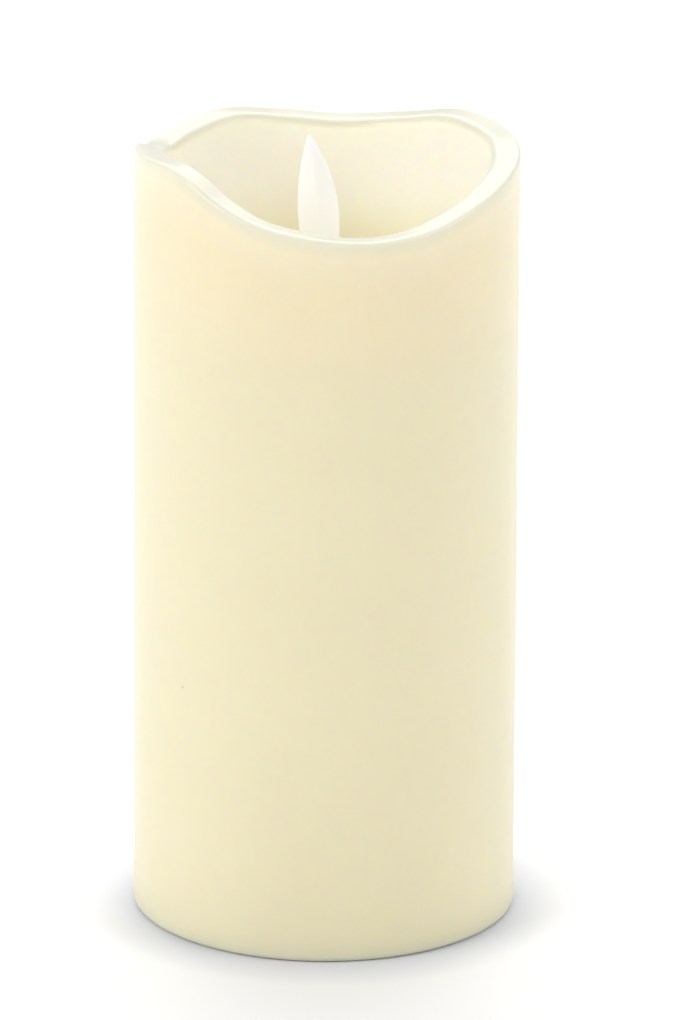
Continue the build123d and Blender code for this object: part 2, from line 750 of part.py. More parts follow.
# ---------------------------------------------------------------- lamp
with BuildPart() as led_lamp:
    with Locations(lamp_plane.location):
        Cylinder(lamp_radius + lamp_flange, 1.0, align=LOW)
        Cylinder(lamp_radius, lamp_length - lamp_radius, align=LOW)
        with Locations((0, 0, lamp_length - lamp_radius)):
            Sphere(lamp_radius)
finish(led_lamp, "led_lamp")

leg_length = 9.0
leg_half_pitch = 1.27
with BuildPart() as led_legs:
    with Locations(lamp_plane.location):
        with Locations((-leg_half_pitch, 0, 0), (leg_half_pitch, 0, 0)):
            Box(0.5, 0.5, leg_length, align=HIGH)
finish(led_legs, "led_legs")

# ---------------------------------------------------------------- flame
# Sections up the flame: height share, width share, thickness share, sideways shift
flame_sections = [
    (0.16, 0.60, 0.68, 0.0),
    (0.32, 0.64, 0.70, 0.0),
    (0.50, 0.88, 0.90, 0.0),
    (0.64, 1.00, 1.00, 0.05),
    (0.74, 0.93, 0.94, 0.0),
    (0.85, 0.72, 0.76, -0.15),
    (0.93, 0.44, 0.50, -0.55),
    (0.985, 0.17, 0.22, -1.0),
]
flame_up = Vector(-sin(radians(flame_lean)), 0, cos(radians(flame_lean)))
flame_side = Vector(cos(radians(flame_lean)), 0, sin(radians(flame_lean)))
flame_plane = Plane(origin=(0, 0, pivot_z), x_dir=flame_side, z_dir=flame_up)
neck_height = flame_sections[0][0] * flame_height
seat_thickness = 1.2

with BuildPart() as flame_blade:
    for height, width, thickness, shift in flame_sections:
        with BuildSketch(flame_plane.offset(height * flame_height)):
            with Locations((shift, 0)):
                Ellipse(width * flame_width / 2, thickness * flame_thickness / 2)
    loft()
    # neck, hub and tail, as one flat stem
    with BuildSketch(flame_plane.offset(-tail_length)):
        RectangleRounded(neck_width, neck_thickness, 0.8)
    extrude(amount=tail_length + neck_height + 1.5)
    with BuildSketch(flame_plane.offset(-tail_length)):
        with Locations((magnet_offset, 0)):
            Circle(magnet_radius)
    extrude(amount=seat_thickness)
    with Locations(Location((0, 0, pivot_z), (90, 0, 0))):
        Cylinder(wire_radius + wire_clearance, 4 * neck_thickness, mode=Mode.SUBTRACT)
finish(flame_blade, "flame_blade")

with BuildPart() as flame_magnet:
    with BuildSketch(flame_plane.offset(-tail_length)):
        with Locations((magnet_offset, 0)):
            Circle(magnet_radius)
    extrude(amount=-magnet_height)
    chamfer(flame_magnet.edges().filter_by(GeomType.CIRCLE), 0.3)
finish(flame_magnet, "flame_magnet")

# ---------------------------------------------------------------- circuit board
with BuildPart() as circuit_board:
    with BuildSketch(Plane.XY.offset(board_z)):
        with Locations((0, case_y)):
            RectangleRounded(board_length, board_width, 2)
        with Locations((board_screw_x, case_y), (-board_screw_x, case_y)):
            Circle(board_shank_radius + 0.2, mode=Mode.SUBTRACT)
    extrude(amount=board_thickness)
finish(circuit_board, "circuit_board")

board_screw = pan_screw(1.9, 1.2, board_shank_radius, board_thickness + board_standoff - 0.4)
with BuildPart() as board_screws:
    with Locations((board_screw_x, case_y, board_top_z), (-board_screw_x, case_y, board_top_z)):
        add(board_screw)
finish(board_screws, "board_screws")

# Places on the board are measured from the middle of the battery case
chip_place = (-3.0, case_y + 2.0)
chip_gap = 0.15
chip_pitch = 1.27
with BuildPart() as control_chip:
    with Locations((*chip_place, board_top_z + chip_gap)):
        Box(5, 4, 1.5, align=LOW)
    with Locations((*chip_place, board_top_z)):
        with GridLocations(chip_pitch, 5.4, 4, 2):
            Box(0.4, 1.4, 0.6, align=LOW)
finish(control_chip, "control_chip")

capacitor_radius = 2.5
capacitor_height = 7.0
with BuildPart() as capacitor:
    with Locations((6, case_y + 4.5, board_top_z)):
        Cylinder(capacitor_radius, capacitor_height, align=LOW)
    fillet(capacitor.edges().filter_by(GeomType.CIRCLE), 0.4)
finish(capacitor, "capacitor")

transistor_place = (6.0, case_y - 3.0)
with BuildPart() as transistor:
    with Locations((*transistor_place, board_top_z + 0.1)):
        Box(2.9, 1.3, 1.1, align=LOW)
    with Locations((*transistor_place, board_top_z)):
        with Locations((-0.95, -0.85), (0.95, -0.85), (0, 0.85)):
            Box(0.4, 0.8, 0.3, align=LOW)
finish(transistor, "transistor")

with BuildPart() as resistors:
    with Locations((-3, case_y - 4.6, board_top_z)):
        with GridLocations(2.6, 2.6, 3, 2):
            Box(1.6, 0.8, 0.5, align=LOW)
finish(resistors, "resistors")

# ---------------------------------------------------------------- leads
tag_top_z = case_top_z + tag_height
pad_front_y = case_y - board_width / 2 + 1.2
pad_back_y = case_y + board_width / 2 - 1.2
lead_lift = 3.0
bend = 1.2
leg_end = lamp_foot - lamp_direction * leg_length

# from each contact tag out past the board's edge and over on to it
for node, side in (("battery_lead_red", -1), ("battery_lead_black", 1)):
    out_y = case_y + board_width / 2 + 1.6
    battery_lead = lead(
        [
            (side * cell_x, tag_y + 0.8, tag_top_z - 0.8),
            (side * cell_x, out_y, tag_top_z - 0.8),
            (side * cell_x, out_y, board_top_z + lead_lift),
            (side * cell_x, pad_back_y, board_top_z + lead_lift),
            (side * cell_x, pad_back_y, board_top_z),
        ],
        bend * 0.8,
    )
    with BuildPart() as lead_piece:
        add(battery_lead)
    finish(lead_piece, node)

# from the switch up beside the battery case and over on to the board
with BuildPart() as switch_leads:
    for x in (-terminal_pitch / 2, 1.5 * terminal_pitch):
        add(
            lead(
                [
                    (x, switch_y, switch_roof_z + terminal_height),
                    (x, switch_y, switch_roof_z + 7),
                    (x, case_y - board_width / 2 - 2, switch_roof_z + 12),
                    (x, case_y - board_width / 2 - 2, board_top_z + lead_lift),
                    (x, pad_front_y, board_top_z + lead_lift),
                    (x, pad_front_y, board_top_z),
                ],
                bend,
            )
        )
finish(switch_leads, "switch_leads")

# from the lamp's legs down in front of the drum to the board
for node, x in (("led_lead_red", -leg_half_pitch), ("led_lead_black", leg_half_pitch)):
    lamp_lead = lead(
        [
            (x, leg_end.Y, leg_end.Z),
            (x, leg_end.Y - 1.1, leg_end.Z - 3.4),
            (x * 6, leg_end.Y - 1.1, board_top_z + 14),
            (x * 6, leg_end.Y - 1.1, board_top_z + lead_lift + 1.6),
            (x * 6, pad_front_y, board_top_z + lead_lift + 1.6),
            (x * 6, pad_front_y, board_top_z),
        ],
        bend,
    )
    with BuildPart() as lead_piece:
        add(lamp_lead)
    finish(lead_piece, node)

# from the coil down through the floor of its drum to the board
with BuildPart() as coil_leads:
    for x in (-1.2, 1.2):
        add(
            lead(
                [
                    (x, -coil_lead_y, coil_foot_z),
                    (x, -coil_lead_y, housing_foot_z - 2.5),
                    (x * 2, case_y - 7.5, board_top_z + 0.3),
                ],
                bend,
            )
        )
finish(coil_leads, "coil_leads")
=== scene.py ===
import bmesh
import bpy
from math import cos, pi, radians, sin
from mathutils import Matrix, Vector, noise


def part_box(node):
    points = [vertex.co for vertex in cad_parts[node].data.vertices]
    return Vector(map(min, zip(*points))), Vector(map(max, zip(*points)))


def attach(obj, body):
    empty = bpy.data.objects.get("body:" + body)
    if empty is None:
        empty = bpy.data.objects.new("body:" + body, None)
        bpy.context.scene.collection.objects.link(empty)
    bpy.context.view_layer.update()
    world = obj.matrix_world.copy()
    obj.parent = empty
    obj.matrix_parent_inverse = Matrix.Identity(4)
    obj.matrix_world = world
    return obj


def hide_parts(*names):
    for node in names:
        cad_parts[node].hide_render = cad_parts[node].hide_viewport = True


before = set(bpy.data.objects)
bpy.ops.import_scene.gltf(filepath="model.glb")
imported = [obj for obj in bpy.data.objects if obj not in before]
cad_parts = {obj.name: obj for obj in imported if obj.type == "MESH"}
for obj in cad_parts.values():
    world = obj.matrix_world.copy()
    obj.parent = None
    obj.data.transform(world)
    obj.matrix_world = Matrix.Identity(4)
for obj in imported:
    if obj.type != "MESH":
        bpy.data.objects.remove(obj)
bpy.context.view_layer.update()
scene = bpy.context.scene
mm = 0.001
print("frame loaded:", len(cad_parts), "nodes")


# meshes

def smoothStep(low, high, value):
    share = min(max((value - low) / (high - low), 0.0), 1.0)
    return share * share * (3 - 2 * share)


def pieceFromMesh(name, bm, body, replaced):
    mesh = bpy.data.meshes.new(name)
    bm.to_mesh(mesh)
    bm.free()
    mesh.shade_smooth()
    piece = bpy.data.objects.new(name, mesh)
    scene.collection.objects.link(piece)
    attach(piece, body)
    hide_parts(*replaced)
    return piece


def bevelVerts(bm, verts, offset, segments):
    bmesh.ops.bevel(
        bm, geom=verts, offset=offset, offset_type="OFFSET", segments=segments,
        profile=0.5, affect="VERTICES", material=-1,
    )


# shader nodes

def newMaterial(name):
    material = bpy.data.materials.new(name)
    material.use_nodes = True
    tree = material.node_tree
    return material, tree, tree.nodes["Principled BSDF"]


def setShader(shader, **values):
    for socket, value in values.items():
        shader.inputs[socket.replace("_", " ")].default_value = value


def addNode(tree, kind, inputs=None, **settings):
    # each input is given a value, or another node's output to be linked to
    node = tree.nodes.new("ShaderNode" + kind)
    for key, value in settings.items():
        setattr(node, key, value)
    for socket, value in (inputs or {}).items():
        if isinstance(value, bpy.types.NodeSocket):
            tree.links.new(value, node.inputs[socket])
        else:
            node.inputs[socket].default_value = value
    return node


def mixColors(tree, share, first, second):
    # sockets 6, 7 and 2 are the Mix node's colours
    return addNode(tree, "Mix", {0: share, 6: first, 7: second}, data_type="RGBA").outputs[2]


def addGroup(tree, group, inputs):
    return addNode(tree, "Group", inputs, node_tree=group).outputs


def newGroup(name, inputs, outputs):
    group = bpy.data.node_groups.new(name, "ShaderNodeTree")
    for label, value in inputs.items():
        kind = "NodeSocketColor" if isinstance(value, tuple) else "NodeSocketFloat"
        socket = group.interface.new_socket(label, in_out="INPUT", socket_type=kind)
        socket.default_value = value
    for label, kind in outputs.items():
        group.interface.new_socket(label, in_out="OUTPUT", socket_type="NodeSocket" + kind)
    given = group.nodes.new("NodeGroupInput").outputs
    result = group.nodes.new("NodeGroupOutput").inputs
    return group, given, result


def linkSurface(tree, shader, color, roughness, height=None, strength=0.5, depth=0.0):
    # depth is that of the relief which the height gives, in metres
    tree.links.new(color, shader.inputs["Base Color"])
    tree.links.new(roughness, shader.inputs["Roughness"])
    if height is not None:
        bump = addNode(tree, "Bump", {"Height": height, "Strength": strength, "Distance": depth})
        tree.links.new(bump.outputs[0], shader.inputs["Normal"])


def objectPoint(tree):
    return addNode(tree, "TexCoord").outputs["Object"]


def linkShade(group, swing, amount, color, target):
    # the colour made lighter and darker by the swing
    shade = addNode(group, "Math", {0: swing, 1: amount, 2: 1.0}, operation="MULTIPLY_ADD").outputs[0]
    scaled = addNode(group, "VectorMath", {0: color, "Scale": shade}, operation="SCALE")
    group.links.new(scaled.outputs[0], target)


def linkSheen(group, swing, amount, roughness, target):
    # the roughness raised and lowered by the swing
    sheen = addNode(group, "Math", {0: swing, 1: amount, 2: roughness}, operation="MULTIPLY_ADD")
    group.links.new(sheen.outputs[0], target)


def mottleGroup():
    # soft uneven shade and sheen, as in cast wax and moulded plastic
    group, given, result = newGroup(
        "mottle",
        {"Color": (0.8, 0.8, 0.8, 1), "Shade": 0.03, "Size": 60.0, "Roughness": 0.5, "Sheen": 0.05},
        {"Color": "Color", "Roughness": "Float", "Height": "Float"},
    )
    cloud = addNode(group, "TexNoise", {
        "Vector": objectPoint(group), "Scale": given["Size"], "Detail": 4.0,
    })
    swing = addNode(group, "Math", {0: cloud.outputs["Fac"], 1: 0.5}, operation="SUBTRACT").outputs[0]
    linkShade(group, swing, given["Shade"], given["Color"], result["Color"])
    linkSheen(group, swing, given["Sheen"], given["Roughness"], result["Roughness"])
    group.links.new(cloud.outputs["Fac"], result["Height"])
    return group


def specksGroup():
    # a few small round spots, strewn at random
    group, given, result = newGroup(
        "specks", {"Size": 90.0, "Radius": 0.04, "Share": 0.1}, {"Mask": "Float"},
    )
    cells = addNode(group, "TexVoronoi", {"Vector": objectPoint(group), "Scale": given["Size"]})
    away = cells.outputs["Distance"]
    near = addNode(group, "Math", {0: away, 1: given["Radius"]}, operation="LESS_THAN")
    split = addNode(group, "SeparateColor", {"Color": cells.outputs["Color"]})
    chosen = addNode(group, "Math", {0: split.outputs[0], 1: given["Share"]}, operation="LESS_THAN")
    mask = addNode(group, "Math", {0: near.outputs[0], 1: chosen.outputs[0]}, operation="MULTIPLY")
    group.links.new(mask.outputs[0], result["Mask"])
    return group


def brushGroup():
    # fine lines drawn along Z, as on wire, cans and turned screws
    group, given, result = newGroup(
        "brushLines",
        {"Color": (0.7, 0.7, 0.7, 1), "Shade": 0.1, "Size": 2500.0, "Roughness": 0.3, "Spread": 0.15},
        {"Color": "Color", "Roughness": "Float", "Height": "Float"},
    )
    stretch = addNode(group, "Mapping", {"Vector": objectPoint(group), "Scale": (1.0, 1.0, 0.06)})
    lines = addNode(group, "TexNoise", {
        "Vector": stretch.outputs[0], "Scale": given["Size"], "Detail": 3.0,
    })
    swing = addNode(group, "Math", {0: lines.outputs["Fac"], 1: 0.5}, operation="SUBTRACT").outputs[0]
    linkShade(group, swing, given["Shade"], given["Color"], result["Color"])
    linkSheen(group, swing, given["Spread"], given["Roughness"], result["Roughness"])
    group.links.new(lines.outputs["Fac"], result["Height"])
    return group


def dustGroup():
    # settled dust and handling marks: a pale film in broad patches
    group, given, result = newGroup(
        "handling",
        {"Color": (0.8, 0.8, 0.8, 1), "Dust": (0.7, 0.68, 0.62, 1), "Amount": 0.1, "Size": 120.0},
        {"Color": "Color"},
    )
    cloud = addNode(group, "TexNoise", {
        "Vector": objectPoint(group), "Scale": given["Size"], "Detail": 6.0, "Roughness": 0.65,
    })
    patch = addNode(group, "MapRange", {
        "Value": cloud.outputs["Fac"], "From Min": 0.48, "From Max": 0.78,
    })
    share = addNode(group, "Math", {0: patch.outputs[0], 1: given["Amount"]}, operation="MULTIPLY")
    dusty = mixColors(group, share.outputs[0], given["Color"], given["Dust"])
    group.links.new(dusty, result["Color"])
    return group


mottle = mottleGroup()
specks = specksGroup()
brushLines = brushGroup()
handling = dustGroup()
print("shader groups ready")


# camera and light

# metres, degrees, and millimetres of lens and sensor
viewValues = {
    "target": (0.0028, 0.0, 0.0801),
    "distance": 2.1935,
    "elevation": 18.72,
    "lens": 397.4,
    "sensor": 36.0,
    "roll": 0.36,
}


def buildCamera(values):
    data = bpy.data.cameras.new("camera")
    data.lens = values["lens"]
    data.sensor_width = values["sensor"]
    data.clip_start = 0.1
    camera = bpy.data.objects.new("camera", data)
    scene.collection.objects.link(camera)
    tilt = radians(values["elevation"])
    back = Vector((0, -cos(tilt), sin(tilt)))
    camera.location = Vector(values["target"]) + back * values["distance"]
    roll = Matrix.Rotation(radians(values["roll"]), 3, "Z").to_quaternion()
    camera.rotation_euler = (back.to_track_quat("Z", "Y") @ roll).to_euler()
    scene.camera = camera


lightValues = {
    "left": {"place": (-2.2, -1.3, 1.6), "size": 1.4, "power": 28.0},
    "right": {"place": (2.4, -0.8, 1.6), "size": 1.4, "power": 15.0},
    "back": {"place": (0.0, 1.6, 2.0), "size": 2.4, "power": 38.0},
}
lightAim = 80.0 * mm  # height that the lights look at
worldStrength = 0.615


def buildLights(lights, strength):
    for name, light in lights.items():
        data = bpy.data.lights.new(name, "AREA")
        data.shape = "SQUARE"
        data.size = light["size"]
        data.energy = light["power"]
        lamp = bpy.data.objects.new(name, data)
        lamp.location = light["place"]
        aim = Vector(light["place"]) - Vector((0, 0, lightAim))
        lamp.rotation_euler = aim.to_track_quat("Z", "Y").to_euler()
        scene.collection.objects.link(lamp)
    world = bpy.data.worlds.new("studio")
    world.use_nodes = True
    background = world.node_tree.nodes["Background"]
    background.inputs["Color"].default_value = (1, 1, 1, 1)
    background.inputs["Strength"].default_value = strength
    scene.world = world
    scene.view_settings.view_transform = "Standard"
    scene.view_settings.look = "None"


floorLooks = {
    "width": 8.0,
    "depth": 0.05 * mm,  # clear of the foot, so that the two don't share a plane
    "open": (0.97, 0.972, 0.98, 1),
    # painted contact shadow: the floor's colour right by the candle's foot
    "near": (0.75, 0.77, 0.83, 1),
    "paintedShadowRadius": 38.0 * mm,
    "shadowEndRadius": 50.0 * mm,
}


def buildFloor(looks):
    # pale all over, with a painted contact shadow: darker where it meets the candle
    bm = bmesh.new()
    below = Matrix.Translation((0, 0, -looks["depth"]))
    bmesh.ops.create_grid(bm, x_segments=8, y_segments=8, size=looks["width"] / 2, matrix=below)
    mesh = bpy.data.meshes.new("floor")
    bm.to_mesh(mesh)
    bm.free()
    floor = bpy.data.objects.new("floor", mesh)
    scene.collection.objects.link(floor)
    material, tree, shader = newMaterial("floorWithPaintedShadow")
    setShader(shader, Roughness=0.6, Specular_IOR_Level=0.1)
    away = addNode(tree, "VectorMath", {0: objectPoint(tree)}, operation="LENGTH").outputs["Value"]
    share = addNode(tree, "MapRange", {
        "Value": away, "From Min": looks["paintedShadowRadius"], "From Max": looks["shadowEndRadius"],
    }).outputs[0]
    tree.links.new(mixColors(tree, share, looks["near"], looks["open"]), shader.inputs["Base Color"])
    mesh.materials.append(material)


buildCamera(viewValues)
buildLights(lightValues, worldStrength)
buildFloor(floorLooks)
print("camera, lights and floor ready")


# wax pillar

waxValues = {
    "radius": 37.49 * mm,  # a hair inside the pillar's own 37.5 mm
    "height": 156.3 * mm,  # to the highest crest of the rim
    "wall": 6.0 * mm,
    "lip": 6.0 * mm,
    "floor": 120.0 * mm,
    "ceiling": 115.0 * mm,
    "taper": 0.9 * mm,  # the bowl is narrower at its foot
    "flare": 0.3 * mm,  # and opens a last little at the lip
    "flareDepth": 12.0 * mm,
    "footRound": 1.2 * mm,
    "outerRound": 0.9 * mm,
    "innerRound": 1.9 * mm,
    "cornerRound": 9.0 * mm,
    "slotRound": 1.2 * mm,
    "hiddenRound": 0.4 * mm,
    "steps": 288,
    "longestEdge": 2.6 * mm,
    # melted rim: angle from +X, and drop below the highest crest in mm
    "wave": [
        (-160, 0.9), (-146, 0.0), (-136, 1.2), (-125, 4.4), (-110, 7.8), (-91, 9.8),
        (-74, 10.4), (-56, 9.2), (-38, 6.5), (-15, 3.7), (8, 2.3), (26, 2.1), (45, 2.3),
        (65, 4.9), (86, 6.4), (105, 5.2), (124, 3.7), (146, 4.7), (162, 5.0), (178, 2.2),
    ],
    # slot in the bowl's floor around the collar of the core tube
    "slotWidth": 13.2 * mm,
    "slotFront": -13.8 * mm,
    "slotBack": 6.4 * mm,
    "slotStart": 9.5 * mm,  # radius that the turned floor starts at, before it is drawn in to the slot
    "slotBlend": 20.0 * mm,
    # reach of the material's zones below the rim
    "lipDepth": 12.0 * mm,
    "innerLipDepth": 1.5 * mm,
    "crownShadeDepth": 2.5 * mm,
    # unevenness of the cast wax: the inset keeps the outside from bulging
    "skinInset": 0.21 * mm,
    "skinSwell": 0.16 * mm,
    "skinRipple": 0.04 * mm,
    "bowlSwell": 0.25 * mm,
    "bowlRipple": 0.07 * mm,
    "bowlHeave": 0.2 * mm,
}

waxLooks = {
    "body": (0.83, 0.768, 0.545, 1),
    # painted light: the inside of the bowl paler and brighter, as if lit through the wax
    "bowl": (0.995, 0.972, 0.88, 1),
    # painted light: paler and less yellow near the rim, where the wax is thin
    "lip": (0.835, 0.79, 0.61, 1),
    # painted shade: the rim's top face greyer and darker
    "crownShade": (0.70, 0.70, 0.60, 1),
    "speck": (0.30, 0.27, 0.17, 1),
    "roughness": 0.40,
    "lipRoughness": 0.32,
    "depth": 0.3,
    # single dark specks in the wax: place and radius in mm
    "marks": [((-27.7, -25.3, 52.2), 0.45), ((-29.3, 19.0, 151.0), 0.35), ((9.0, 30.4, 140.0), 0.35)],
}


def rimDrop(angle, wave):
    # a smooth closed curve through the points of the wave
    count = len(wave)
    degrees = (angle * 180 / pi + 180) % 360 - 180
    if degrees < wave[0][0]:
        degrees += 360
    stops = [wave[i % count][0] + 360 * (i // count) for i in range(-1, count + 2)]
    drops = [wave[i % count][1] for i in range(-1, count + 2)]
    for i in range(1, count + 1):
        if stops[i] <= degrees <= stops[i + 1]:
            break
    span = stops[i + 1] - stops[i]
    t = (degrees - stops[i]) / span
    slopeIn = (drops[i + 1] - drops[i - 1]) / (stops[i + 1] - stops[i - 1]) * span
    slopeOut = (drops[i + 2] - drops[i]) / (stops[i + 2] - stops[i]) * span
    fromFirst = (2 * t**3 - 3 * t**2 + 1) * drops[i] + (t**3 - 2 * t**2 + t) * slopeIn
    fromSecond = (-2 * t**3 + 3 * t**2) * drops[i + 1] + (t**3 - t**2) * slopeOut
    return (fromFirst + fromSecond) * mm


def waxSection(values):
    # half section of the wax as a closed chain of edges, with its corners rounded
    radius, top = values["radius"], values["height"]
    inner = radius - values["lip"]
    cavity = radius - values["wall"]
    floor, ceiling = values["floor"], values["ceiling"]
    # across, up, rounding, segments of the rounding
    corners = [
        (values["slotStart"], floor, values["slotRound"], 4),
        (values["slotBlend"], floor, 0, 0),
        (inner - values["taper"], floor, values["cornerRound"], 12),
        (inner - values["flare"], top - values["flareDepth"], 0, 0),
        (inner, top, values["innerRound"], 8),
        (radius, top, values["outerRound"], 5),
        (radius, 0, values["footRound"], 5),
        (cavity, 0, values["hiddenRound"], 2),
        (cavity, ceiling, 0, 0),
        (values["slotBlend"], ceiling, 0, 0),
        (values["slotStart"], ceiling, values["hiddenRound"], 2),
    ]
    bm = bmesh.new()
    verts = [bm.verts.new((x, 0, z)) for x, z, rounding, segments in corners]
    for first, second in zip(verts, verts[1:] + verts[:1]):
        bm.edges.new((first, second))
    for vert, (x, z, rounding, segments) in zip(verts, corners):
        if rounding:
            bevelVerts(bm, [vert], rounding, segments)
    return bm


def divideLongEdges(bm, longest):
    # more points along straight runs, so that the turned surface can bend
    for edge in list(bm.edges):
        cuts = int(edge.calc_length() / longest)
        if cuts:
            bmesh.ops.subdivide_edges(bm, edges=[edge], cuts=cuts)


def markZones(bm, values):
    # how far each point belongs to the painted shade on the rim's top face, to the lip with its painted
    # light, and to the bowl with its painted light, for the material
    crownShadeLayer = bm.verts.layers.float.new("crownShadeShare")
    lipLightAndGlossLayer = bm.verts.layers.float.new("lipLightAndGlossShare")
    bowlPaintedLightLayer = bm.verts.layers.float.new("bowlPaintedLightShare")
    top, floor = values["height"], values["floor"]
    inner = values["radius"] - values["lip"]
    for vert in bm.verts:
        x, y, z = vert.co
        radius = (x * x + y * y) ** 0.5
        # the lip's share carries painted light in the colour, and the lip's lower roughness
        depth = values["lipDepth"] if radius > inner + 1 * mm else values["innerLipDepth"]
        vert[lipLightAndGlossLayer] = smoothStep(top - depth, top - 0.5 * mm, z)
        # painted shade on the rim's top face
        vert[crownShadeLayer] = smoothStep(top - values["crownShadeDepth"], top, z)
        inside = 1 - smoothStep(inner - 0.2 * mm, inner + 1.5 * mm, radius)
        # painted light inside the bowl, stronger towards the rim
        paintedLightToRim = 0.45 + 0.55 * smoothStep(floor + 2 * mm, floor + 24 * mm, z)  # towards the rim
        vert[bowlPaintedLightLayer] = inside * paintedLightToRim * smoothStep(floor - 3 * mm, floor, z)


def drawInToSlot(vert, outward, radius, values):
    # the round hole in the floor becomes a slot with round ends, and its surroundings follow
    halfWidth = values["slotWidth"] / 2
    middle = (values["slotFront"] + values["slotBack"]) / 2
    straight = (values["slotBack"] - values["slotFront"]) / 2 - halfWidth
    share = 1 - smoothStep(values["slotStart"], values["slotBlend"], radius)
    reach = halfWidth + radius - values["slotStart"]
    side = min(max(outward.y * 2.5, -1.0), 1.0)
    vert.co.x += (outward.x * reach - vert.co.x) * share
    vert.co.y += (middle + straight * side + outward.y * reach - vert.co.y) * share


def shapeWax(bm, values):
    # the wavy rim, the slot in the floor, and the slight unevenness of cast wax
    top, floor = values["height"], values["floor"]
    for vert in bm.verts:
        x, y, z = vert.co
        radius = (x * x + y * y) ** 0.5
        outward = Vector((x, y, 0)) / radius
        angle = outward.xy.angle_signed(Vector((1, 0)))
        onFloor = radius < values["slotBlend"]
        if onFloor:
            drawInToSlot(vert, outward, radius, values)
        if z > floor + 0.5 * mm:
            vert.co.z -= rimDrop(angle, values["wave"]) * smoothStep(floor, top - 9 * mm, z)
        if radius > values["radius"] - 2 * mm and z > 2 * mm:
            calm = smoothStep(2 * mm, 12 * mm, z)
            swell = values["skinSwell"] * noise.noise(Vector((x * 28, y * 28, z * 11)))
            ripple = values["skinRipple"] * noise.noise(Vector((x * 95, y * 95, z * 60)))
            vert.co -= outward * calm * (values["skinInset"] + swell + ripple)
        elif z > floor - 0.1 * mm and not onFloor:
            swell = values["bowlSwell"] * noise.noise(Vector((x * 60, y * 60, z * 35 + 9)))
            ripple = values["bowlRipple"] * noise.noise(Vector((x * 150, y * 150, z * 120)))
            vert.co -= outward * (swell + ripple)
            heave = noise.noise(Vector((x * 90, y * 90, 4))) - 0.75
            vert.co.z += values["bowlHeave"] * heave


def waxMaterial(looks):
    material, tree, shader = newMaterial("ivoryWax")
    setShader(
        shader, IOR=1.46, Subsurface_Weight=1.0, Subsurface_Scale=0.005, Specular_IOR_Level=0.5,
        Coat_Weight=0.25, Coat_Roughness=0.18, Subsurface_Radius=(1.0, 0.78, 0.45),
    )
    # the bowl's and the lip's colours are painted light, paler and brighter; the rim's top colour is
    # painted shade, greyer and darker
    bowl = addNode(tree, "Attribute", attribute_name="bowlPaintedLightShare").outputs["Fac"]
    lip = addNode(tree, "Attribute", attribute_name="lipLightAndGlossShare").outputs["Fac"]
    crownShade = addNode(tree, "Attribute", attribute_name="crownShadeShare").outputs["Fac"]
    sides = mixColors(tree, lip, mixColors(tree, bowl, looks["body"], looks["bowl"]), looks["lip"])
    zones = mixColors(tree, crownShade, sides, looks["crownShade"])
    sheen = addNode(tree, "MapRange", {
        "Value": lip, "To Min": looks["roughness"], "To Max": looks["lipRoughness"],
    }).outputs[0]
    broad = addGroup(tree, mottle, {
        "Color": zones, "Shade": 0.05, "Size": 38.0, "Roughness": sheen, "Sheen": 0.12,
    })
    fine = addGroup(tree, mottle, {
        "Color": broad["Color"], "Shade": 0.03, "Size": 260.0,
        "Roughness": broad["Roughness"], "Sheen": 0.1,
    })
    dots = addGroup(tree, specks, {"Size": 75.0, "Radius": 0.022, "Share": 0.10})["Mask"]
    point = objectPoint(tree)
    for place, radius in looks["marks"]:
        centre = Vector(place) * mm
        away = addNode(tree, "VectorMath", {0: point, 1: centre}, operation="DISTANCE").outputs["Value"]
        near = addNode(tree, "MapRange", {
            "Value": away, "From Min": radius * mm, "From Max": radius * mm * 0.4,
        }).outputs[0]
        dots = addNode(tree, "Math", {0: dots, 1: near}, operation="MAXIMUM").outputs[0]
    speckled = mixColors(tree, dots, fine["Color"], looks["speck"])
    height = addNode(tree, "Math", {0: broad["Height"], 1: fine["Height"]}, operation="ADD").outputs[0]
    pitted = addNode(tree, "Math", {0: height, 1: dots}, operation="SUBTRACT").outputs[0]
    linkSurface(tree, shader, speckled, fine["Roughness"], pitted, 0.25, looks["depth"] * mm)
    return material


def buildWax(values):
    bm = waxSection(values)
    divideLongEdges(bm, values["longestEdge"])
    bmesh.ops.spin(
        bm, geom=bm.verts[:] + bm.edges[:], cent=(0, 0, 0), axis=(0, 0, 1),
        angle=2 * pi, steps=values["steps"], use_merge=True,
    )
    bmesh.ops.remove_doubles(bm, verts=bm.verts, dist=0.002 * mm)
    markZones(bm, values)
    shapeWax(bm, values)
    bmesh.ops.recalc_face_normals(bm, faces=bm.faces)
    wax = pieceFromMesh("waxPillar", bm, "pillar", ["wax_shell"])
    wax.data.materials.append(waxMaterial(waxLooks))
    print("wax pillar:", len(wax.data.polygons), "faces")


# flame

